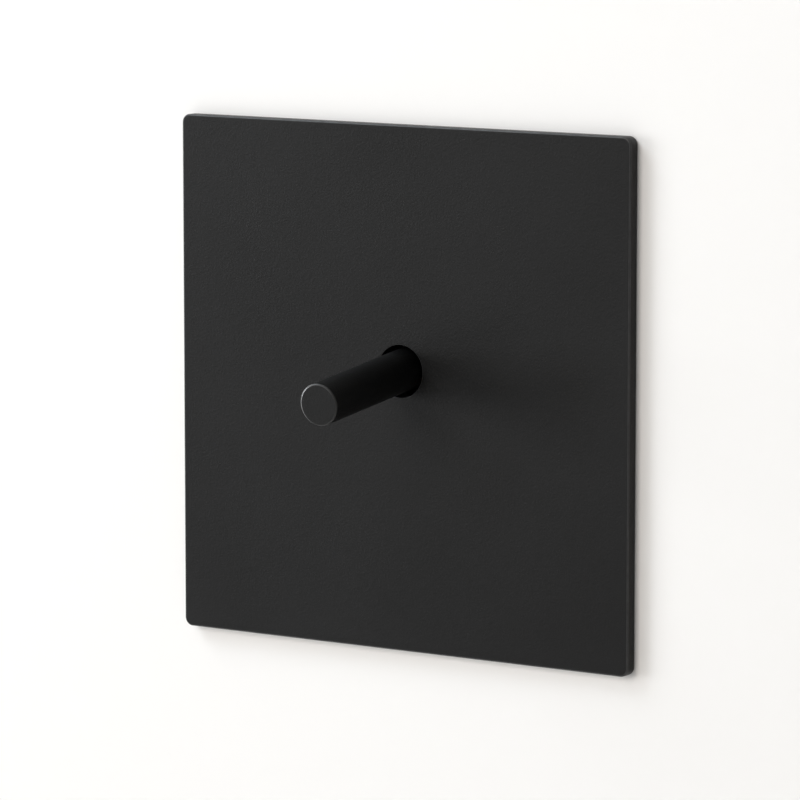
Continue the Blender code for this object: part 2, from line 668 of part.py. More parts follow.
def build_common_terminal(builder):
    """The terminal that carries the knife edge, with a prong on each side to keep the rocker in place."""
    x = -TERMINAL_OFFSET_X
    start = PIVOT_Z - TERMINAL_START
    terminal = build_pillar(builder, "common_terminal", x, PILLAR_FRONT, start, -1)
    back = STRIP_Y + STRIP_T
    left = x - LEAD_HALF_W
    builder.join_block(
        terminal, (left, STRIP_Y, PIVOT_Z - BRIDGE_HALF_H), (BRIDGE_END_X, back, PIVOT_Z + BRIDGE_HALF_H)
    )
    builder.join_block(terminal, (left, STRIP_Y, start - LEAD_OVERLAP), (x + LEAD_HALF_W, back, PIVOT_Z))
    root = STRIP_Y + STRIP_T / 2
    edge_half, root_half = KNIFE_HALF_T
    outline = [(ROCKER_Y, -edge_half), (root, -root_half), (root, root_half), (ROCKER_Y, edge_half)]
    knife = extruded("common_terminal_knife", outline, KNIFE_WIDTH, SIDEWAYS, builder.cutters)
    builder.modify(terminal, move(knife, z=PIVOT_Z), "UNION")
    for side in (-1, 1):
        low, high = sorted((side * PRONG_X[0], side * PRONG_X[1]))
        builder.join_block(
            terminal,
            (low, ROCKER_Y - PRONG_REACH, PIVOT_Z - PRONG_HALF_H),
            (high, root, PIVOT_Z + PRONG_HALF_H),
        )
    paint(terminal, BRASS)
    build_terminal_screw(builder, "terminal_screw_common", x, PILLAR_FRONT, screw_height(start, -1))


def build_earth_terminal(builder):
    earth = build_pillar(builder, "earth_terminal", EARTH_X, GAP, EARTH_Z, -1)
    paint(earth, BRASS)
    build_terminal_screw(builder, "earth_screw", EARTH_X, GAP, screw_height(EARTH_Z, -1))


# ---------------------------------------------------------------- module housing


def build_module_cover(builder):
    mesh = block_mesh(
        "module_cover",
        (-HOUSING_HALF_W, COVER_FRONT, PIVOT_Z - HOUSING_HALF_H),
        (HOUSING_HALF_W, COVER_BACK, PIVOT_Z + HOUSING_HALF_H),
    )
    round_edges(mesh, HOUSING_CORNER_R, 2, along_y)
    cover = add("module_cover", mesh, builder.parts)
    builder.join_block(
        cover,
        (-COLLAR_HALF_W, COLLAR_FRONT, PIVOT_Z - COLLAR_HALF_H),
        (COLLAR_HALF_W, (COVER_FRONT + COVER_BACK) / 2, PIVOT_Z + COLLAR_HALF_H),
    )
    builder.cut_hole(cover, LEVER_WELL_R, COLLAR_FRONT - CLEAR, COVER_BACK + CLEAR, z=PIVOT_Z, steps=48)
    cut_pin_cradle(builder, cover)
    head_r, seat = HOUSING_HEAD_R + GAP, HOUSING_HEAD_BACK + GAP
    shank_r, back = HOUSING_SCREW_R + GAP, COVER_BACK + CLEAR
    bore = [(0, CLEAR), (head_r, CLEAR), (head_r, -seat), (shank_r, -seat), (shank_r, -back), (0, -back)]
    for x in (-HOUSING_SCREW_X, HOUSING_SCREW_X):
        for z in (-HOUSING_SCREW_Z, HOUSING_SCREW_Z):
            builder.cut_turned(cover, bore, x=x, z=PIVOT_Z + z, steps=14)
    paint(cover, COVER_GREY)


def cut_pin_cradle(builder, cover):
    """A slot with a round front end, open at the back, that the pivot pin is pushed into by the spring."""
    radius, back = PIN_R + PIN_PLAY, COVER_BACK + CLEAR
    outline = [(back, -radius), *arc(radius, (PIVOT_Y, 0), 270, 90, 12), (back, radius)]
    cradle = extruded("cradle", outline, 2 * (PIN_HALF + GAP), SIDEWAYS, builder.cutters)
    builder.modify(cover, move(cradle, z=PIVOT_Z), "DIFFERENCE")


def build_module_base(builder):
    front = COVER_BACK + GAP
    mesh = block_mesh(
        "module_base",
        (-HOUSING_HALF_W, front, PIVOT_Z - HOUSING_HALF_H),
        (HOUSING_HALF_W, HOUSING_BACK, PIVOT_Z + HOUSING_HALF_H),
    )
    round_edges(mesh, HOUSING_CORNER_R, 2, along_y)
    base = add("module_base", mesh, builder.parts)
    join_snap_bosses(builder, base)
    cut_chamber(builder, base, front)
    for x, away in ((0, 1), (-TERMINAL_OFFSET_X, -1), (TERMINAL_OFFSET_X, -1)):
        cut_terminal_pocket(builder, base, front, x, away)
    cut_grips(builder, base)
    builder.cut_block(
        base,
        (-PANEL_HALF_W, HOUSING_BACK - RECESS_DEPTH, PIVOT_Z - PANEL_HALF_H),
        (PANEL_HALF_W, HOUSING_BACK + CLEAR, PIVOT_Z + PANEL_HALF_H),
    )
    bore_r, bore_end = HOUSING_SCREW_R + GAP, HOUSING_SCREW_END + GAP
    for x in (-HOUSING_SCREW_X, HOUSING_SCREW_X):
        for z in (-HOUSING_SCREW_Z, HOUSING_SCREW_Z):
            builder.cut_hole(base, bore_r, front - CLEAR, bore_end, x=x, z=PIVOT_Z + z, steps=14)
    paint(base, BASE_GREY)


def join_snap_bosses(builder, base):
    """Ramped bosses that catch in the windows of the carrier's lugs."""
    inside, flank = HOUSING_HALF_W - CLEAR, HOUSING_HALF_W
    crest = flank + GAP + CARRIER_T - BOSS_SHY
    start, top, back = BOSS_Y
    for sign in (-1, 1):
        outline = [(inside, start), (flank, start), (crest, top), (crest, back), (inside, back)]
        outline = [(sign * x, y) for x, y in outline]
        boss = extruded(f"snap_boss{sign}", outline, BOSS_LENGTH, LEVEL, builder.cutters)
        builder.modify(base, move(boss, z=PIVOT_Z), "UNION")


def cut_chamber(builder, base, front):
    """The contact chamber, wide below for the strips that lead to the two lower terminals."""
    narrow, wide, open_y = CHAMBER_NARROW, CHAMBER_WIDE, front - CLEAR
    low, high = PIVOT_Z - CHAMBER_REACH, PIVOT_Z + CHAMBER_REACH
    builder.cut_block(base, (-narrow, open_y, low), (narrow, CHAMBER_BACK, high))
    builder.cut_block(base, (-wide, open_y, low - APART), (wide, CHAMBER_BACK, PIVOT_Z + CHAMBER_STEP))


def cut_grips(builder, base):
    """Grooves across both sides of the housing, above and below the snap bosses."""
    floor, clear, outside = HOUSING_HALF_W - GRIP_DEPTH, HOUSING_HALF_W + CLEAR / 2, HOUSING_HALF_W + CLEAR
    start = GRIP_START - CLEAR
    comb = [(outside, start), (outside, GRIP_START + GRIP_PITCH * GRIP_ROWS)]
    for row in reversed(range(GRIP_ROWS)):
        low = GRIP_START + GRIP_PITCH * row
        high = low + GRIP_PITCH / 2
        comb += [(clear, high), (floor, high), (floor, low), (clear, low)]
    comb.append((clear, start))
    front, back = GRIP_Y
    for side in (-1, 1):
        for away in (-1, 1):
            outline = [(side * x, away * z) for x, z in comb]
            cutter = extruded(f"grip{side}{away}", outline, back - front, UPRIGHT, builder.cutters)
            builder.modify(base, move(cutter, y=(front + back) / 2, z=PIVOT_Z), "DIFFERENCE")


def cut_terminal_pocket(builder, base, front, x, away):
    """The room for a terminal block, with its wire entry and the hole for the screwdriver."""
    end = TERMINAL_START + PILLAR_LENGTH + GAP + POCKET_PLAY
    half = PILLAR_HALF_W + GAP
    pocket_z = sorted((PIVOT_Z + away * POCKET_START, PIVOT_Z + away * end))
    builder.cut_block(
        base, (x - half, front - CLEAR, pocket_z[0]), (x + half, PILLAR_BACK + GAP, pocket_z[1])
    )
    mouth = WIRE_HALF + ENTRY_PLAY
    entry_z = sorted((PIVOT_Z + away * (end - CLEAR), PIVOT_Z + away * (HOUSING_HALF_H + CLEAR)))
    builder.cut_block(
        base, (x - mouth, WIRE_Y - mouth, entry_z[0]), (x + mouth, WIRE_Y + mouth, entry_z[1])
    )
    height = screw_height(PIVOT_Z + away * TERMINAL_START, away)
    outside = HOUSING_BACK + CLEAR
    builder.cut_hole(base, DRIVER_HOLE_R, PILLAR_BACK - CLEAR, outside, x=x, z=height, steps=20)
    builder.cut_hole(base, RING_R, HOUSING_BACK - RECESS_DEPTH, outside, x=x, z=height, steps=24)


# ---------------------------------------------------------------- fasteners


def build_housing_screws(builder):
    front, head_back, end = HOUSING_HEAD_FRONT, HOUSING_HEAD_BACK, HOUSING_SCREW_END
    head_r, chamfer, shank_r = HOUSING_HEAD_R, HOUSING_HEAD_CHAMFER, HOUSING_SCREW_R
    point_r, cone = HOUSING_SCREW_POINT
    profile = [
        (0, -front), (head_r - chamfer, -front), (head_r, -front - chamfer), (head_r, -head_back),
        (shank_r, -head_back), (shank_r, cone - end), (point_r, -end), (0, -end),
    ]
    reach, slot_front, slot_floor = head_r + CLEAR, front - CLEAR, front + HOUSING_SLOT_DEPTH
    for side, x in (("left", -HOUSING_SCREW_X), ("right", HOUSING_SCREW_X)):
        for level, z in (("lower", -HOUSING_SCREW_Z), ("upper", HOUSING_SCREW_Z)):
            height = PIVOT_Z + z
            screw = turned(f"housing_screw_{level}_{side}", profile, builder.parts, steps=14)
            move(screw, x=x, z=height)
            low, high = height - HOUSING_SLOT_HALF, height + HOUSING_SLOT_HALF
            builder.cut_block(screw, (x - reach, slot_front, low), (x + reach, slot_floor, high))
            paint(screw, ZINC)


def build_box_screws(builder):
    """Countersunk M3.5 screws that hold the carrier to the flush box."""
    _, front = BOX_SCREW_PROFILE[0]
    head_r, _ = BOX_SCREW_PROFILE[1]
    for side, x in (("left", -BOX_SCREW_X), ("right", BOX_SCREW_X)):
        screw = turned(f"box_screw_{side}", BOX_SCREW_PROFILE, builder.parts, steps=20)
        move(screw, x=x)
        builder.cut_block(
            screw,
            (x - head_r - CLEAR, -front - CLEAR, -BOX_SLOT_HALF),
            (x + head_r + CLEAR, BOX_SLOT_FLOOR, BOX_SLOT_HALF),
        )
        paint(screw, ZINC)


# ---------------------------------------------------------------- the whole switch


def shade_rounded():
    """Smooth shading on every piece, with edges over 35 degrees kept sharp."""
    for obj in bpy.data.objects:
        if obj.type == "MESH" and obj.data.polygons:
            obj.data.shade_smooth()
            obj.data.set_sharp_from_angle(angle=math.radians(35))


def main():
    clear_scene()
    builder = Builder()
    build_face_plate(builder)
    build_plate_studs(builder)
    build_stud_clips(builder)
    build_carrier(builder)
    build_lever(builder)
    build_dolly(builder)
    build_plunger(builder)
    build_plunger_spring(builder)
    build_moving_contact(builder)
    build_fixed_buttons(builder)
    build_upper_terminal(builder)
    build_lower_terminal(builder)
    build_common_terminal(builder)
    build_earth_terminal(builder)
    build_module_cover(builder)
    build_module_base(builder)
    build_housing_screws(builder)
    build_box_screws(builder)
    shade_rounded()


main()
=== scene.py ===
"""The toggle wall switch in the studio: matt black plate and lever on a pale wall.

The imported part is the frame. The plate, the lever, the plunger's spring and every screw are built again here
as finer meshes, and the other nodes keep their CAD shape with softened edges. Sizes are in millimetres unless
a comment says otherwise; MM turns them into metres. Heights of turned pieces grow towards the room.
"""

import math

import bmesh
import bpy
from mathutils import Matrix, Vector


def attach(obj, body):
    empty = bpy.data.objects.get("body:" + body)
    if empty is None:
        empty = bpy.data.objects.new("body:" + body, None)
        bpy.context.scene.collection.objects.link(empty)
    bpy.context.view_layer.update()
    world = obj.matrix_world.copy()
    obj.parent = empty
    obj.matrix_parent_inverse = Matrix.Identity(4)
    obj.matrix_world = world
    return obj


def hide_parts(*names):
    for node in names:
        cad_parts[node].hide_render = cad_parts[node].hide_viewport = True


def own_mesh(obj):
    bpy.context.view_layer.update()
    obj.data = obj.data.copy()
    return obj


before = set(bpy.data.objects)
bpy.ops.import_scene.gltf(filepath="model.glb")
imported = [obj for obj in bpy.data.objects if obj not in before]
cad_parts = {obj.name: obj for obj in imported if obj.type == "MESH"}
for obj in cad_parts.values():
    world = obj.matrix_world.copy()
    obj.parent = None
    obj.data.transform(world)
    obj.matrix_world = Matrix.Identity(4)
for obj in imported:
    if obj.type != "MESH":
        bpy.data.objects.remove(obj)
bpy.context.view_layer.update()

MM = 0.001

# Camera: angles in degrees, distances in metres, sensor and lens in millimetres
CAMERA_AZIMUTH = 32.93
CAMERA_ELEVATION = 7.79
CAMERA_DISTANCE = 0.8083
CAMERA_ASIDE = -0.00118
CAMERA_RISE = -0.00191
CAMERA_CLIP = (0.01, 30.0)
SENSOR = 36.0
LENS = 223.8

# Plate, as in the CAD source, with finer edges
PLATE_HALF = 43.0
PLATE_T = 2.2
PLATE_CORNER_R = 1.4
PLATE_EDGE_R = 0.3
PLATE_BACK_EDGE_R = 0.2
PLATE_BORDER = 0.2  # flat ring inside the front edge
POCKET_HALF = 38.5
POCKET_FLOOR = -1.3
POCKET_CORNER_R = 1.2
POCKET_LIP = (0.2, 0.1)  # chamfer round the pocket: width and depth
POCKET_FILLET = 0.25
HOLE_R = 4.3
HOLE_Z = 3.0
HOLE_RIM_R = 0.15
HOLE_BORDER = 0.15  # flat ring round the rim
HOLE_COLLAR_R = 5.3
HOLE_COLLAR_BACK = -0.8
HOLE_COLLAR_CHAMFER = 0.1
SIDE_POINTS = 24
CORNER_POINTS = 9
LOOP_POINTS = 4 * (SIDE_POINTS + CORNER_POINTS)
RIM_STEPS = 4
EDGE_STEPS = 6
FILLET_STEPS = 3

# Lever, its pivot pin's bore and the plunger's spring, along the lever's axis from the pivot
PIVOT_Y = 0.4
PIVOT_Z = 3.33
REST_TILT = 6.7  # degrees below level
LEVER_R = 3.45
LEVER_REACH = 26.55
LEVER_EDGE_R = 0.3
LEVER_BORDER = 0.25  # flat ring inside the tip's edge
LEVER_NECK = 0.3  # plain ring behind the tip's edge
LEVER_MIDDLE = 8.0
LEVER_HEEL = 2.2
LEVER_HEEL_CHAMFER = (0.2, 0.3)  # width and length
STUD_R = 1.7
STUD_END = 5.0
STUD_CHAMFER = 0.3
LEVER_STEPS = 96
TIP_HIGHLIGHT_MIDDLE = 0.45  # share of a turn from the right, by way of the top, where the painted highlight on the tip's rim is strongest
TIP_HIGHLIGHT_LEAST = 0.12
BORE_R = 1.1
BORE_HALF = 10.0
BORE_STEPS = 32
SPRING_MEAN_R = 1.3
SPRING_WIRE_R = 0.175
SPRING_TURNS = 4.5
SPRING_START = 6.575  # the wire's middle, behind the pivot along the lever's axis
SPRING_END = 9.025
SPRING_STEPS = 144
WIRE_STEPS = 12

# Screws with their heads towards the room. The head and the point are (radius, height), front end first, and
# the thread lies between two heights
BOX_SCREW = {
    "head": ((0, 0.95), (3.2, 0.95), (3.4, 0.88), (3.4, 0.8), (1.75, -0.8)),
    "shank_r": 1.75,
    "pitch": 0.6,
    "threaded": (-1.2, -21.2),
    "point": ((1.4, -21.6), (1.1, -22.0), (0, -22.0)),
    "slot_half": 0.4,
    "slot_floor": -0.3,
}
HOUSING_SCREW = {
    "head": ((0, -0.6), (1.5, -0.6), (1.82, -0.75), (1.9, -0.95), (1.9, -1.8), (1.25, -1.8)),
    "shank_r": 1.25,
    "pitch": 0.8,
    "threaded": (-2.2, -13.4),
    "point": ((0.6, -14.2), (0, -14.2)),
    "slot_half": 0.25,
    "slot_floor": 1.1,
}
BOX_SCREW_X = 30.15
HOUSING_SCREW_X = 12.3
HOUSING_SCREW_Z = 19.2  # above and below the pivot
SCREW_STEPS = 32
THREAD_RINGS = 8  # rings in each pitch
THREAD_DEPTH = 0.32  # share of the pitch
THREAD_SLOPE = 1.15  # how steep a groove's sides are: 1 would reach the crest half a pitch from its bottom
THREAD_CREST = 0.87  # share of half a pitch, from the groove's bottom, where the flat crest begins
SLOT_REACH = 6.0

# Terminal screws, with their heads behind. Y grows into the wall
TERMINAL_DEPTH = 7.6
TERMINAL_WALL = 1.0
WIRE_HOLE = 4.4
CLEAR = 0.3
PILLAR_FRONT = 15.312
TERMINAL_Z = 17.2  # above and below the pivot
TERMINAL_X = 6.5
EARTH_X = 20.0
EARTH_Z = -12.0
TERMINAL_SCREW_R = 1.75
TERMINAL_TIP_R = 1.45
TERMINAL_TIP = 0.3
TERMINAL_PITCH = 0.6
TERMINAL_THREAD_DEPTH = 0.16
TERMINAL_THREAD_STOP = 0.2  # plain shank under the head
TERMINAL_RINGS = 20
TERMINAL_HEAD_T = 1.7
TERMINAL_HEAD = ((2.4, 1.7), (2.4, 0.35), (2.3, 0.1), (2.05, 0.0), (0, 0.0))  # radius, distance from the back
TERMINAL_SLOT_DEPTH = 0.8
TERMINAL_SLOT_HALF = 0.35
TERMINAL_SLOT_REACH = 4.0

# Edges of the nodes that keep their CAD shape
WELD = 0.000002  # metres
BEVEL_SEGMENTS = 2
BEVEL_ANGLE = 40.0  # degrees

# Finer pieces shade sharp past this angle, in degrees
SHARP_ANGLE = 38.0

# All materials: noise scales are features to the metre, and depths and radii are metres
EDGE_SAMPLES = 4
EDGE_TURN = (0.75, 0.98)  # cosines between a rounded and a true normal, at an edge and away from it
SUM_RANGE = (0.7, 1.3)  # where the sum of two noises mostly lies
PRODUCT_RANGE = (0.1, 0.45)  # and their product

# Powder coat
WEAR_AND_HIGHLIGHT = "wear_and_highlight"  # the point attribute that marks edges for a lighter colour, partly rubbed by hands and partly a painted highlight
COAT_ROUGHNESS = 0.42
COAT_ROUGHNESS_SPREAD = 0.03
COAT_GLOSS = 0.225
COAT_TONES = (0.8, 1.25)  # darkest and lightest, as shares of the colour
COAT_CLOUD = 35.0
COAT_GRAIN = 5200.0
COAT_PORE = 3000.0
COAT_PATCHES = 420.0
COAT_PATCHES_LEAST = 0.6
COAT_BUMP = 0.6
COAT_GRAIN_DEPTH = 0.000014
COAT_PORE_DEPTH = 0.000042

# Metal
METAL_CLOUD = 160.0
METAL_GRAIN = 3000.0
METAL_DARKEST = 0.82
METAL_ROUGHNESS_SPREAD = (-0.07, 0.09)
METAL_EDGE = 0.0002
METAL_BUMP = 0.3
BRUSHED_BUMP = 0.12
BRUSHED_STRETCH = (1, 1, 0.15)
METAL_BUMP_DEPTH = 0.00001

# Plastic
PLASTIC_CLOUD = 90.0
PLASTIC_GRAIN = 2600.0
PLASTIC_DARKEST = 0.93
PLASTIC_ROUGHNESS_SPREAD = (-0.06, 0.08)
PLASTIC_GLOSS = 0.5
PLASTIC_EDGE = 0.00025
PLASTIC_EDGE_SHARE = 0.35
DUST_KEEPS = 0.6  # share of the plastic's colour that shows through the dust on an edge
DUST = 0.2
PLASTIC_BUMP = 0.4
PLASTIC_BUMP_DEPTH = 0.00002

# Colours, and those of rubbed edges; on the plate and lever the edge colours are partly a painted highlight
PLATE_BLACK = (0.0022,) * 3
# The plate's edge colour is partly rubbing and partly a painted highlight line along its edges and the hole's
# rim
PLATE_WEAR_AND_HIGHLIGHT = (0.06,) * 3
LEVER_BLACK = (0.004,) * 3
# The lever's rim colour is mostly a painted highlight, over some rubbing
LEVER_WEAR_AND_HIGHLIGHT = (0.26,) * 3
ZINC = (0.62, 0.63, 0.66)
ZINC_RUBBED = (0.75, 0.75, 0.76)
SPRING_STEEL = (0.42, 0.43, 0.45)
SPRING_STEEL_RUBBED = (0.6, 0.6, 0.62)
BLACKENED = (0.022, 0.022, 0.024)
BLACKENED_RUBBED = (0.04, 0.04, 0.042)
BRASS = (0.74, 0.55, 0.27)
BRASS_RUBBED = (0.86, 0.68, 0.38)
COPPER = (0.78, 0.42, 0.28)
COPPER_RUBBED = (0.88, 0.52, 0.36)
SILVER = (0.86, 0.85, 0.82)
SILVER_RUBBED = (0.92, 0.91, 0.9)
NYLON = (0.025, 0.025, 0.025)
COVER_PLASTIC = (0.030, 0.031, 0.032)
BASE_PLASTIC = (0.045, 0.047, 0.05)

# Stage, in metres
WALL_COLOUR = (0.86, 0.845, 0.825, 1.0)
WALL_ROUGHNESS = 0.9
WALL_GLOSS = 0.2
FLOOR_COLOUR = (0.8, 0.8, 0.79, 1.0)
FLOOR_ROUGHNESS = 0.8
WALL_Y = 0.00005
WALL_HALF = 0.5
WALL_OPENING_HALF = 0.042
FLOOR_Z = -0.6
FLOOR_HALF = 8.0


# ---------------------------------------------------------------- node helpers


class Nodes:
    """A material's node tree, with a short way to add a node and link its inputs."""

    def __init__(self, name):
        self.material = bpy.data.materials.new(name)
        self.material.use_nodes = True
        self.tree = self.material.node_tree
        self.shader = self.tree.nodes["Principled BSDF"]
        self.output = self.tree.nodes["Material Output"]
        self.where = self.add("ShaderNodeTexCoord").outputs["Object"]

    def add(self, kind, **settings):
        node = self.tree.nodes.new(kind)
        for key, value in settings.items():
            if key in node.inputs.keys():
                self.put(node, key, value)
            else:
                setattr(node, key, value)
        return node

    def put(self, node, socket, value):
        if isinstance(value, bpy.types.NodeSocket):
            self.tree.links.new(value, node.inputs[socket])
        else:
            node.inputs[socket].default_value = value

    def noise(self, scale, detail=2.0, stretch=None):
        """Noise with features about 1/scale metres across, from 0 to 1."""
        where = self.where
        if stretch:
            mapping = self.add("ShaderNodeMapping", Scale=stretch)
            self.put(mapping, "Vector", where)
            where = mapping.outputs["Vector"]
        node = self.add("ShaderNodeTexNoise", Scale=scale, Detail=detail)
        self.put(node, "Vector", where)
        return node.outputs["Fac"]

    def spread(self, value, low, high, start=0.3, end=0.7):
        """Takes value from start..end to low..high."""
        node = self.add("ShaderNodeMapRange")
        for socket, number in (("From Min", start), ("From Max", end), ("To Min", low), ("To Max", high)):
            node.inputs[socket].default_value = number
        self.put(node, "Value", value)
        return node.outputs["Result"]

    def blend(self, share, first, second):
        """The first colour where share is 0, and the second where it is 1."""
        node = self.add("ShaderNodeMix", data_type="RGBA")
        self.tree.links.new(share, node.inputs["Factor"])
        for socket, colour in ((6, first), (7, second)):
            if isinstance(colour, bpy.types.NodeSocket):
                self.tree.links.new(colour, node.inputs[socket])
            else:
                node.inputs[socket].default_value = (*colour, 1.0)
        return node.outputs[2]

    def combine(self, first, second, operation="ADD"):
        """Two numbers added, or put together by another operation of the Math node."""
        node = self.add("ShaderNodeMath", operation=operation)
        for socket, value in ((0, first), (1, second)):
            if isinstance(value, bpy.types.NodeSocket):
                self.tree.links.new(value, node.inputs[socket])
            else:
                node.inputs[socket].default_value = value
        return node.outputs[0]

    def bump(self, height, strength, depth, below=None):
        """A normal shaped by height, on top of the normal below. depth is in metres."""
        node = self.add("ShaderNodeBump", Strength=strength, Distance=depth)
        self.put(node, "Height", height)
        if below:
            self.put(node, "Normal", below)
        return node.outputs["Normal"]

    def edges(self, radius):
        """1 near a sharp edge and 0 away from it. radius is in metres."""
        bevel = self.add("ShaderNodeBevel", samples=EDGE_SAMPLES, Radius=radius)
        geometry = self.add("ShaderNodeNewGeometry")
        dot = self.add("ShaderNodeVectorMath", operation="DOT_PRODUCT")
        self.tree.links.new(bevel.outputs["Normal"], dot.inputs[0])
        self.tree.links.new(geometry.outputs["Normal"], dot.inputs[1])
        return self.spread(dot.outputs["Value"], 1.0, 0.0, *EDGE_TURN)


def shares(colour, share):
    """The colour made darker or lighter."""
    return [c * share for c in colour]


def powder_coat(name, colour, edge_colour, edge_roughness, edge_metal):
    """Fine-textured black powder coat on metal, lighter, smoother and partly metallic along its marked edges:
    partly rubbed by hands, partly a painted highlight.
    """
    n = Nodes(name)
    n.shader.inputs["Specular IOR Level"].default_value = COAT_GLOSS
    cloud = n.noise(COAT_CLOUD)
    grain = n.noise(COAT_GRAIN, detail=3.0)
    pore = n.noise(COAT_PORE, detail=1.0)
    patches = n.spread(n.noise(COAT_PATCHES, detail=3.0), COAT_PATCHES_LEAST, 1.0)
    wear_and_highlight = n.combine(n.add("ShaderNodeAttribute", attribute_name=WEAR_AND_HIGHLIGHT).outputs["Fac"], patches, "MULTIPLY")
    darker, lighter = (shares(colour, share) for share in COAT_TONES)
    tone = n.blend(n.spread(n.combine(cloud, grain, "MULTIPLY"), 0.0, 1.0, *PRODUCT_RANGE), darker, lighter)
    # Lighter base colour along the marked edges: partly rubbing, partly a painted highlight
    n.put(n.shader, "Base Color", n.blend(wear_and_highlight, tone, edge_colour))
    smoothest, roughest = COAT_ROUGHNESS - COAT_ROUGHNESS_SPREAD, COAT_ROUGHNESS + COAT_ROUGHNESS_SPREAD
    matt = n.spread(n.combine(cloud, grain), smoothest, roughest, *SUM_RANGE)
    polish = n.combine(wear_and_highlight, edge_roughness - COAT_ROUGHNESS, "MULTIPLY")
    n.put(n.shader, "Roughness", n.combine(matt, polish))
    n.put(n.shader, "Metallic", n.combine(wear_and_highlight, edge_metal, "MULTIPLY"))
    pores = n.bump(pore, COAT_BUMP, COAT_PORE_DEPTH)
    n.put(n.shader, "Normal", n.bump(grain, COAT_BUMP, COAT_GRAIN_DEPTH, pores))
    return n.material


def plated_metal(name, colour, edge_colour, roughness, brushed=False):
    """Plated or bare metal: fine grain, cloudy tone, and edges that have rubbed brighter."""
    n = Nodes(name)
    cloud = n.noise(METAL_CLOUD, detail=4.0)
    grain = n.noise(METAL_GRAIN, detail=3.0, stretch=BRUSHED_STRETCH if brushed else None)
    tone = n.blend(n.spread(cloud, 0.0, 1.0), shares(colour, METAL_DARKEST), colour)
    n.put(n.shader, "Base Color", n.blend(n.edges(METAL_EDGE), tone, edge_colour))
    smoothest, roughest = (roughness + change for change in METAL_ROUGHNESS_SPREAD)
    n.put(n.shader, "Roughness", n.spread(n.combine(cloud, grain), smoothest, roughest, *SUM_RANGE))
    n.shader.inputs["Metallic"].default_value = 1.0
    n.put(n.shader, "Normal", n.bump(grain, BRUSHED_BUMP if brushed else METAL_BUMP, METAL_BUMP_DEPTH))
    return n.material


def moulded_plastic(name, colour, roughness):
    """Injection-moulded plastic with a spark-eroded grain and edges that catch dust."""
    n = Nodes(name)
    cloud = n.noise(PLASTIC_CLOUD)
    grain = n.noise(PLASTIC_GRAIN, detail=3.0)
    tone = n.blend(n.spread(cloud, 0.0, 1.0), shares(colour, PLASTIC_DARKEST), colour)
    dust = n.spread(n.edges(PLASTIC_EDGE), 0.0, PLASTIC_EDGE_SHARE, 0.0, 1.0)
    n.put(n.shader, "Base Color", n.blend(dust, tone, [c * DUST_KEEPS + DUST for c in colour]))
    smoothest, roughest = (roughness + change for change in PLASTIC_ROUGHNESS_SPREAD)
    n.put(n.shader, "Roughness", n.spread(grain, smoothest, roughest))
    n.shader.inputs["Specular IOR Level"].default_value = PLASTIC_GLOSS
    n.put(n.shader, "Normal", n.bump(grain, PLASTIC_BUMP, PLASTIC_BUMP_DEPTH))
    return n.material


# ---------------------------------------------------------------- mesh helpers


def new_piece(name, mesh, body, slot, material, *nodes):
    """Links a finished mesh, and lets it stand for its CAD nodes."""
    piece = bpy.data.objects.new(name, mesh)
    bpy.context.scene.collection.objects.link(piece)
    mesh.materials.clear()
    mesh.materials.append(material)
    mesh.shade_smooth()
    mesh.set_sharp_from_angle(angle=math.radians(SHARP_ANGLE))
    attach(piece, body)
    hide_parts(*nodes)
    return piece


def evenly(share):
    """An edge mark, partly rubbing and partly a painted highlight, that is the same all the way round."""
    return 1.0


def loft(name, loops, closed, wear_and_highlight=(), wear_and_highlight_round=evenly):
    """Quads between loops of points, all of one length. An end loop of one point is a pole. worn holds
    the numbers of the loops on an edge that takes a lighter colour, partly rubbed by hands and partly a
    painted highlight, and wear(share of the way round) says how strong that mark is there."""
    made = bmesh.new()
    layer = made.verts.layers.float.new(WEAR_AND_HIGHLIGHT)
    rings = [[made.verts.new([c * MM for c in point]) for point in loop] for loop in loops]
    # Marks the edge loops' points for the lighter edge colour: rubbing and a painted highlight
    for number in wear_and_highlight:
        for i, vert in enumerate(rings[number]):
            vert[layer] = wear_and_highlight_round(i / len(rings[number]))
    pairs = list(zip(rings, rings[1:]))
    if closed:
        pairs.append((rings[-1], rings[0]))
    for a, b in pairs:
        count = max(len(a), len(b))
        for i in range(count):
            j = (i + 1) % count
            if len(a) == 1:
                made.faces.new((a[0], b[j], b[i]))
            elif len(b) == 1:
                made.faces.new((a[i], a[j], b[0]))
            else:
                made.faces.new((a[i], a[j], b[j], b[i]))
    bmesh.ops.recalc_face_normals(made, faces=made.faces)
    mesh = bpy.data.meshes.new(name)
    made.to_mesh(mesh)
    made.free()
    return mesh


def arc(start, end, pieces):
    """Angles in radians from start to end degrees."""
    return [math.radians(start + (end - start) * i / pieces) for i in range(pieces + 1)]


def turned(name, profile, steps, place, wave=None, wear_and_highlight=(), wear_and_highlight_round=evenly):
    """A turned piece about its axis, front end first: (radius, height). wave(height, turn) is added to the
    radius, place turns and moves the piece, and worn and wear, the edge mark for rubbing and painted
    highlight, are as in loft."""
    loops = []
    for radius, height in profile:
        if radius == 0:
            loops.append([place @ Vector((0, -height, 0))])
            continue
        loop = []
        for i in range(steps):
            turn = i / steps
            reach = radius + (wave(height, turn) if wave else 0.0)
            angle = 2 * math.pi * turn
            loop.append(place @ Vector((reach * math.cos(angle), -height, reach * math.sin(angle))))
        loops.append(loop)
    return loft(name, loops, closed=False, wear_and_highlight=wear_and_highlight, wear_and_highlight_round=wear_and_highlight_round)


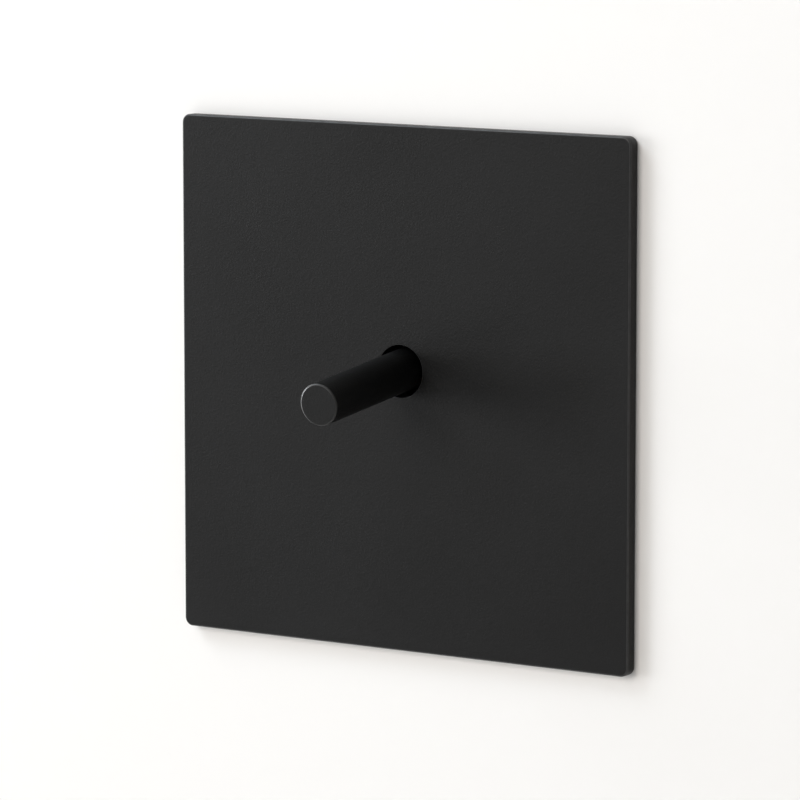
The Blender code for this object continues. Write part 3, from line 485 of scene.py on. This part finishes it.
def block(low, high):
    """A box between two corners, to cut with."""
    made = bmesh.new()
    bmesh.ops.create_cube(made, size=1.0)
    bmesh.ops.scale(made, vec=[b - a for a, b in zip(low, high)], verts=made.verts)
    bmesh.ops.translate(made, vec=[(a + b) / 2 for a, b in zip(low, high)], verts=made.verts)
    bmesh.ops.scale(made, vec=(MM, MM, MM), verts=made.verts)
    mesh = bpy.data.meshes.new("cutter")
    made.to_mesh(mesh)
    made.free()
    return mesh


def cut(mesh, cutter):
    """mesh without what cutter covers."""
    pair = []
    for data in (mesh, cutter):
        obj = bpy.data.objects.new("cut", data)
        bpy.context.scene.collection.objects.link(obj)
        pair.append(obj)
    boolean = pair[0].modifiers.new("cut", "BOOLEAN")
    boolean.operation = "DIFFERENCE"
    boolean.solver = "EXACT"
    boolean.object = pair[1]
    bpy.context.view_layer.update()
    graph = bpy.context.evaluated_depsgraph_get()
    made = bpy.data.meshes.new_from_object(pair[0].evaluated_get(graph))
    for obj in pair:
        bpy.data.objects.remove(obj)
    return made


# ---------------------------------------------------------------- the plate


def square(half, radius, y):
    """A rounded square in the plane y, from the middle of its right side towards its top."""
    points = []
    for quarter in range(4):
        turn = Matrix.Rotation(math.radians(90 * quarter), 2)
        flat = half - radius
        for i in range(SIDE_POINTS):
            points.append(turn @ Vector((half, -flat + 2 * flat * i / SIDE_POINTS)))
        for angle in arc(0, 90 * (CORNER_POINTS - 1) / CORNER_POINTS, CORNER_POINTS - 1):
            points.append(turn @ Vector((flat + radius * math.cos(angle), flat + radius * math.sin(angle))))
    return [(p.x, y, p.y) for p in points]


def circle(radius, y):
    """A circle about the hole's centre, with its points in step with square's."""
    points = []
    for i in range(LOOP_POINTS):
        angle = 2 * math.pi * (i / LOOP_POINTS) - math.pi / 4
        points.append((radius * math.cos(angle), y, HOLE_Z + radius * math.sin(angle)))
    return points


def build_plate(coat):
    """Loops from the hole's front rim over the front, round to the back, and into the pocket and collar."""
    front = -PLATE_T
    loops = []
    for a in arc(90, 0, RIM_STEPS):
        radius = HOLE_R + HOLE_RIM_R * (1 - math.sin(a))
        loops.append(circle(radius, front + HOLE_RIM_R * (1 - math.cos(a))))
    # The hole's rim and the front edge take the lighter edge colour: partly rubbing, partly a painted
    # highlight
    wear_and_highlight = list(range(1, RIM_STEPS))
    loops.append(circle(HOLE_R + HOLE_RIM_R + HOLE_BORDER, front))
    loops.append(square(PLATE_HALF - PLATE_EDGE_R - PLATE_BORDER, PLATE_CORNER_R - PLATE_EDGE_R, front))
    wear_and_highlight += range(len(loops) + 1, len(loops) + EDGE_STEPS)
    for a in arc(0, 90, EDGE_STEPS):
        inset = PLATE_EDGE_R * (1 - math.sin(a))
        y = front + PLATE_EDGE_R * (1 - math.cos(a))
        loops.append(square(PLATE_HALF - inset, PLATE_CORNER_R - inset, y))
    for a in arc(0, 90, FILLET_STEPS):
        inset = PLATE_BACK_EDGE_R * (1 - math.cos(a))
        y = -PLATE_BACK_EDGE_R * (1 - math.sin(a))
        loops.append(square(PLATE_HALF - inset, PLATE_CORNER_R - inset, y))
    loops.append(square(POCKET_HALF + POCKET_LIP[0], POCKET_CORNER_R, 0.0))
    loops.append(square(POCKET_HALF, POCKET_CORNER_R, -POCKET_LIP[1]))
    for a in arc(0, 90, FILLET_STEPS):
        inset = POCKET_FILLET * (1 - math.cos(a))
        y = POCKET_FLOOR + POCKET_FILLET * (1 - math.sin(a))
        loops.append(square(POCKET_HALF - inset, POCKET_CORNER_R - inset, y))
    for a in arc(90, 0, FILLET_STEPS):
        y = POCKET_FLOOR + POCKET_FILLET * (1 - math.sin(a))
        loops.append(circle(HOLE_COLLAR_R + POCKET_FILLET * (1 - math.cos(a)), y))
    loops.append(circle(HOLE_COLLAR_R, HOLE_COLLAR_BACK - HOLE_COLLAR_CHAMFER))
    loops.append(circle(HOLE_COLLAR_R - HOLE_COLLAR_CHAMFER, HOLE_COLLAR_BACK))
    loops.append(circle(HOLE_R + HOLE_COLLAR_CHAMFER, HOLE_COLLAR_BACK))
    loops.append(circle(HOLE_R, HOLE_COLLAR_BACK - HOLE_COLLAR_CHAMFER))
    mesh = loft("plate_fine", loops, closed=True, wear_and_highlight=wear_and_highlight)
    return new_piece("plate_fine", mesh, "switch", "matt_black", coat, "face_plate")


# ---------------------------------------------------------------- lever and spring


LEVER_PLACE = Matrix.Translation((0, PIVOT_Y, PIVOT_Z)) @ Matrix.Rotation(math.radians(REST_TILT), 4, "X")


def tip_highlight(share):
    """The tip's rim takes its edge colour most strongly at its upper left, where the lamps' highlight falls: a
    painted highlight over a faint even rubbing all round.
    """
    from_middle = 2 * math.pi * (share - TIP_HIGHLIGHT_MIDDLE)
    return TIP_HIGHLIGHT_LEAST + (1 - TIP_HIGHLIGHT_LEAST) * max(0.0, math.cos(from_middle)) ** 2


def build_lever(coat):
    """The rod and the stud behind it, drilled across for the pivot pin."""
    tip, edge = LEVER_REACH, LEVER_EDGE_R
    chamfer_width, chamfer_length = LEVER_HEEL_CHAMFER
    profile = [(0, tip), (LEVER_R - edge - LEVER_BORDER, tip)]
    # The tip's rounded edge takes the lighter, metallic edge colour, strongest at the upper left: a painted
    # highlight over some rubbing
    wear_and_highlight = range(len(profile) + 1, len(profile) + EDGE_STEPS)
    for a in arc(0, 90, EDGE_STEPS):
        profile.append((LEVER_R - edge * (1 - math.sin(a)), tip - edge * (1 - math.cos(a))))
    profile += [(LEVER_R, tip - edge - LEVER_NECK), (LEVER_R, LEVER_MIDDLE)]
    profile += [(LEVER_R, -LEVER_HEEL + chamfer_length), (LEVER_R - chamfer_width, -LEVER_HEEL)]
    profile += [(STUD_R, -LEVER_HEEL), (STUD_R, -STUD_END + STUD_CHAMFER)]
    profile += [(STUD_R - STUD_CHAMFER, -STUD_END), (0, -STUD_END)]
    lever = turned("lever_fine", profile, LEVER_STEPS, LEVER_PLACE, wear_and_highlight=wear_and_highlight, wear_and_highlight_round=tip_highlight)
    bore = [(0, BORE_HALF), (BORE_R, BORE_HALF), (BORE_R, -BORE_HALF), (0, -BORE_HALF)]
    across = LEVER_PLACE @ Matrix.Rotation(math.radians(90), 4, "Z")
    lever = cut(lever, turned("bore", bore, BORE_STEPS, across))
    return new_piece("lever_fine", lever, "lever", "matt_black", coat, "toggle_lever")


def build_spring(steel):
    """The plunger's coil, which the plunger presses against the dolly's inner wall."""
    loops = []
    for i in range(SPRING_STEPS + 1):
        turn = 2 * math.pi * SPRING_TURNS * i / SPRING_STEPS
        middle = SPRING_START + (SPRING_END - SPRING_START) * i / SPRING_STEPS
        loop = []
        for k in range(WIRE_STEPS):
            angle = 2 * math.pi * k / WIRE_STEPS
            reach = SPRING_MEAN_R + SPRING_WIRE_R * math.cos(angle)
            back = middle + SPRING_WIRE_R * math.sin(angle)
            loop.append(LEVER_PLACE @ Vector((reach * math.cos(turn), back, reach * math.sin(turn))))
        loops.append(loop)
    ends = [[sum(loop, Vector()) / WIRE_STEPS] for loop in (loops[0], loops[-1])]
    mesh = loft("plunger_spring_fine", [ends[0]] + loops + [ends[1]], closed=False)
    coil = new_piece("plunger_spring_fine", mesh, "lever", "spring_steel", steel, "plunger_spring")
    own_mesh(coil)


# ---------------------------------------------------------------- screws


def thread(depth, pitch, start, end):
    """A wave that turns a plain shank into a thread between two heights, faded at both ends."""
    length = start - end

    def wave(height, turn):
        along = (start - height) / length
        if along < 0 or along > 1:
            return 0.0
        fade = min(1.0, along * length / pitch, (1 - along) * length / pitch)
        from_bottom = abs(2 * ((height / pitch - turn) % 1.0) - 1)
        return -depth * fade * (1 - from_bottom * THREAD_SLOPE if from_bottom < THREAD_CREST else 0.0)

    return wave


def build_screw(name, shape, x, z, zinc):
    """A slotted screw about Y, with its head towards the room."""
    start, end = shape["threaded"]
    shank_r, pitch = shape["shank_r"], shape["pitch"]
    rings = int(round((start - end) / pitch * THREAD_RINGS))
    profile = list(shape["head"])
    profile += [(shank_r, start + (end - start) * i / rings) for i in range(rings + 1)]
    profile += shape["point"]
    wave = thread(THREAD_DEPTH * pitch, pitch, start, end)
    mesh = turned(name, profile, SCREW_STEPS, Matrix.Translation((x, 0, z)), wave)
    half, floor = shape["slot_half"], shape["slot_floor"]
    mesh = cut(mesh, block((x - SLOT_REACH, floor - SLOT_REACH, z - half), (x + SLOT_REACH, floor, z + half)))
    return new_piece(name + "_fine", mesh, "switch", "zinc_steel", zinc, name)


def build_terminal_screw(name, x, front, z, zinc):
    """A slotted screw about Y whose head is behind. front is the front of its terminal."""
    tip = -(front + TERMINAL_WALL + WIRE_HOLE + CLEAR)
    seat = -(front + TERMINAL_DEPTH + CLEAR)
    back = seat - TERMINAL_HEAD_T
    start = tip - TERMINAL_TIP
    profile = [(0, tip), (TERMINAL_TIP_R, tip)]
    for i in range(TERMINAL_RINGS + 1):
        profile.append((TERMINAL_SCREW_R, start + (seat - start) * i / TERMINAL_RINGS))
    profile += [(radius, back + ahead) for radius, ahead in TERMINAL_HEAD]
    wave = thread(TERMINAL_THREAD_DEPTH, TERMINAL_PITCH, start, seat + TERMINAL_THREAD_STOP)
    mesh = turned(name, profile, SCREW_STEPS, Matrix.Translation((x, 0, z)), wave)
    reach, half = TERMINAL_SLOT_REACH, TERMINAL_SLOT_HALF
    floor = -back - TERMINAL_SLOT_DEPTH
    mesh = cut(mesh, block((x - reach, floor, z - half), (x + reach, floor + reach, z + half)))
    return new_piece(name + "_fine", mesh, "switch", "zinc_steel", zinc, name)


def build_screws(zinc):
    for side, way in (("left", -1), ("right", 1)):
        build_screw(f"box_screw_{side}", BOX_SCREW, way * BOX_SCREW_X, 0.0, zinc)
    for side, way in (("left", -1), ("right", 1)):
        for level, rise in (("lower", -HOUSING_SCREW_Z), ("upper", HOUSING_SCREW_Z)):
            name = f"housing_screw_{level}_{side}"
            build_screw(name, HOUSING_SCREW, way * HOUSING_SCREW_X, PIVOT_Z + rise, zinc)
    low, high = PIVOT_Z - TERMINAL_Z, PIVOT_Z + TERMINAL_Z
    build_terminal_screw("terminal_screw_common", -TERMINAL_X, PILLAR_FRONT, low, zinc)
    build_terminal_screw("terminal_screw_upper", 0.0, PILLAR_FRONT, high, zinc)
    build_terminal_screw("terminal_screw_lower", TERMINAL_X, PILLAR_FRONT, low, zinc)
    build_terminal_screw("earth_screw", EARTH_X, CLEAR, EARTH_Z, zinc)


# ---------------------------------------------------------------- CAD nodes that keep their shape


def soften(node, material, width):
    """Rounds a CAD node's edges with modifiers, which leave its mesh as it is."""
    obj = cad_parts[node]
    obj.data.materials.clear()
    obj.data.materials.append(material)
    obj.data.shade_smooth()
    weld = obj.modifiers.new("weld", "WELD")
    weld.merge_threshold = WELD
    bevel = obj.modifiers.new("bevel", "BEVEL")
    bevel.width = width * MM
    bevel.segments = BEVEL_SEGMENTS
    bevel.limit_method = "ANGLE"
    bevel.angle_limit = math.radians(BEVEL_ANGLE)
    obj.modifiers.new("normals", "WEIGHTED_NORMAL")


# ---------------------------------------------------------------- stage


def stage_sheet(name, outer, inner, place, material):
    """A flat square sheet, facing -Y before place, with a square opening where inner is over 0. outer and
    inner are half sides."""
    made = bmesh.new()
    rings = []
    for half in (outer, inner):
        corners = ((-half, -half), (half, -half), (half, half), (-half, half))
        rings.append([made.verts.new((x, 0, z)) for x, z in corners] if half else None)
    if inner:
        for i in range(4):
            j = (i + 1) % 4
            made.faces.new((rings[0][i], rings[0][j], rings[1][j], rings[1][i]))
    else:
        made.faces.new(rings[0])
    made.transform(place)
    mesh = bpy.data.meshes.new(name)
    made.to_mesh(mesh)
    made.free()
    mesh.materials.append(material)
    sheet = bpy.data.objects.new(name, mesh)
    bpy.context.scene.collection.objects.link(sheet)


def wall_paint():
    """Matt wall paint that lets rays through from behind, so that the mechanism can be seen there."""
    n = Nodes("wall_paint")
    n.shader.inputs["Base Color"].default_value = WALL_COLOUR
    n.shader.inputs["Roughness"].default_value = WALL_ROUGHNESS
    n.shader.inputs["Specular IOR Level"].default_value = WALL_GLOSS
    behind = n.add("ShaderNodeNewGeometry").outputs["Backfacing"]
    clear = n.add("ShaderNodeBsdfTransparent")
    mix = n.add("ShaderNodeMixShader")
    n.tree.links.new(behind, mix.inputs["Fac"])
    n.tree.links.new(n.shader.outputs["BSDF"], mix.inputs[1])
    n.tree.links.new(clear.outputs["BSDF"], mix.inputs[2])
    n.tree.links.new(mix.outputs["Shader"], n.output.inputs["Surface"])
    return n.material


def build_stage():
    upright = Matrix.Translation((0, WALL_Y, 0))
    stage_sheet("wall", WALL_HALF, WALL_OPENING_HALF, upright, wall_paint())
    floor_paint = Nodes("floor_paint")
    floor_paint.shader.inputs["Base Color"].default_value = FLOOR_COLOUR
    floor_paint.shader.inputs["Roughness"].default_value = FLOOR_ROUGHNESS
    lying = Matrix.Translation((0, 0, FLOOR_Z)) @ Matrix.Rotation(math.radians(-90), 4, "X")
    stage_sheet("floor", FLOOR_HALF, 0, lying, floor_paint.material)


# Area lights: azimuth and elevation in degrees, distance and side in metres, watts, beam in degrees, colour.
# The wall lets light through from behind, so the light there is a narrow beam on the mechanism.
LIGHTS = (
    ("key", -62.0, 2.0, 2.5, 1.0, 25.4, 180.0, (0.92, 0.956, 1.0)),
    ("key_high", -62.0, 45.0, 2.5, 1.0, 21.6, 180.0, (0.874, 0.936, 1.0)),
    ("key_front", -48.0, 4.0, 2.5, 0.8, 3.0, 180.0, (1.0, 0.904, 0.80)),
    ("fill", -10.0, 20.0, 2.5, 1.2, 27.7, 180.0, (1.0, 0.947, 0.90)),
    ("near_left", -50.0, 35.0, 0.6, 0.3, 0.66, 180.0, (0.75, 0.89, 1.0)),
    ("near_top", -30.0, 50.0, 0.6, 0.3, 0.46, 180.0, (0.895, 0.952, 1.0)),
    ("behind", 215.0, 35.0, 1.2, 0.5, 0.9, 30.0, (1.0, 1.0, 1.0)),
)
WORLD_STRENGTH = 0.15


def towards(azimuth, elevation):
    """The direction from the origin, for angles in degrees: azimuth 0 is in front, and 90 to the right."""
    a, e = math.radians(azimuth), math.radians(elevation)
    return Vector((math.sin(a) * math.cos(e), -math.cos(a) * math.cos(e), math.sin(e)))


def build_lights():
    for name, azimuth, elevation, distance, side, watts, beam, colour in LIGHTS:
        data = bpy.data.lights.new(name, "AREA")
        data.shape = "SQUARE"
        data.size = side
        data.energy = watts
        data.spread = math.radians(beam)
        data.color = colour
        light = bpy.data.objects.new(name, data)
        bpy.context.scene.collection.objects.link(light)
        back = towards(azimuth, elevation)
        light.location = back * distance
        light.rotation_euler = back.to_track_quat("Z", "Y").to_euler()
    world = bpy.data.worlds.new("studio")
    bpy.context.scene.world = world
    world.use_nodes = True
    background = world.node_tree.nodes["Background"]
    background.inputs["Color"].default_value = (1.0, 1.0, 1.0, 1.0)
    background.inputs["Strength"].default_value = WORLD_STRENGTH


def build_camera():
    data = bpy.data.cameras.new("camera")
    data.sensor_width = SENSOR
    data.lens = LENS
    data.clip_start, data.clip_end = CAMERA_CLIP
    camera = bpy.data.objects.new("camera", data)
    bpy.context.scene.collection.objects.link(camera)
    back = towards(CAMERA_AZIMUTH, CAMERA_ELEVATION)
    right = towards(CAMERA_AZIMUTH + 90, 0)
    up = back.cross(right)
    camera.location = back * CAMERA_DISTANCE + right * CAMERA_ASIDE + up * CAMERA_RISE
    camera.rotation_euler = (-back).to_track_quat("-Z", "Y").to_euler()
    bpy.context.scene.camera = camera
    bpy.context.scene.view_settings.view_transform = "Standard"


# ---------------------------------------------------------------- the whole scene


def main():
    build_camera()
    build_lights()
    build_stage()
    # The plate's and lever's edge colours are partly rubbing and partly a painted highlight
    plate_coat = powder_coat("plate_coat", PLATE_BLACK, PLATE_WEAR_AND_HIGHLIGHT, edge_roughness=0.32, edge_metal=0.3)
    lever_coat = powder_coat("lever_coat", LEVER_BLACK, LEVER_WEAR_AND_HIGHLIGHT, edge_roughness=0.20, edge_metal=0.9)
    zinc = plated_metal("zinc_plate", ZINC, ZINC_RUBBED, roughness=0.34)
    spring = plated_metal("spring_steel", SPRING_STEEL, SPRING_STEEL_RUBBED, roughness=0.28, brushed=True)
    blackened = plated_metal("blackened_steel", BLACKENED, BLACKENED_RUBBED, roughness=0.42)
    brass = plated_metal("brass", BRASS, BRASS_RUBBED, roughness=0.32)
    copper = plated_metal("copper", COPPER, COPPER_RUBBED, roughness=0.34, brushed=True)
    silver = plated_metal("silver", SILVER, SILVER_RUBBED, roughness=0.26)
    nylon = moulded_plastic("dolly_nylon", NYLON, roughness=0.42)
    cover = moulded_plastic("cover_plastic", COVER_PLASTIC, roughness=0.46)
    base = moulded_plastic("base_plastic", BASE_PLASTIC, roughness=0.44)
    build_plate(plate_coat)
    build_lever(lever_coat)
    build_spring(spring)
    build_screws(zinc)
    corners = [f"{level}_{side}" for level in ("lower", "upper") for side in ("left", "right")]
    # Node, material, slot, and how wide its rounded edges are
    finishes = [
        ("carrier_frame", zinc, "zinc_steel", 0.08),
        ("pivot_pin", blackened, "spring_steel", 0.08),
        ("plunger", brass, "brass", 0.05),
        ("dolly", nylon, "dolly_nylon", 0.12),
        ("moving_contact", copper, "copper", 0.06),
        ("common_terminal", brass, "brass", 0.08),
        ("upper_terminal", brass, "brass", 0.08),
        ("lower_terminal", brass, "brass", 0.08),
        ("earth_terminal", brass, "brass", 0.12),
        ("module_cover", cover, "cover_plastic", 0.15),
        ("module_base", base, "base_plastic", 0.15),
    ]
    finishes += [(f"plate_stud_{corner}", brass, "brass", 0.06) for corner in corners]
    finishes += [(f"stud_clip_{corner}", spring, "spring_steel", 0.06) for corner in corners]
    for kind in ("moving", "fixed"):
        finishes += [(f"{kind}_button_{level}", silver, "silver", 0.06) for level in ("lower", "upper")]
    for node, material, slot, width in finishes:
        soften(node, material, width)


main()
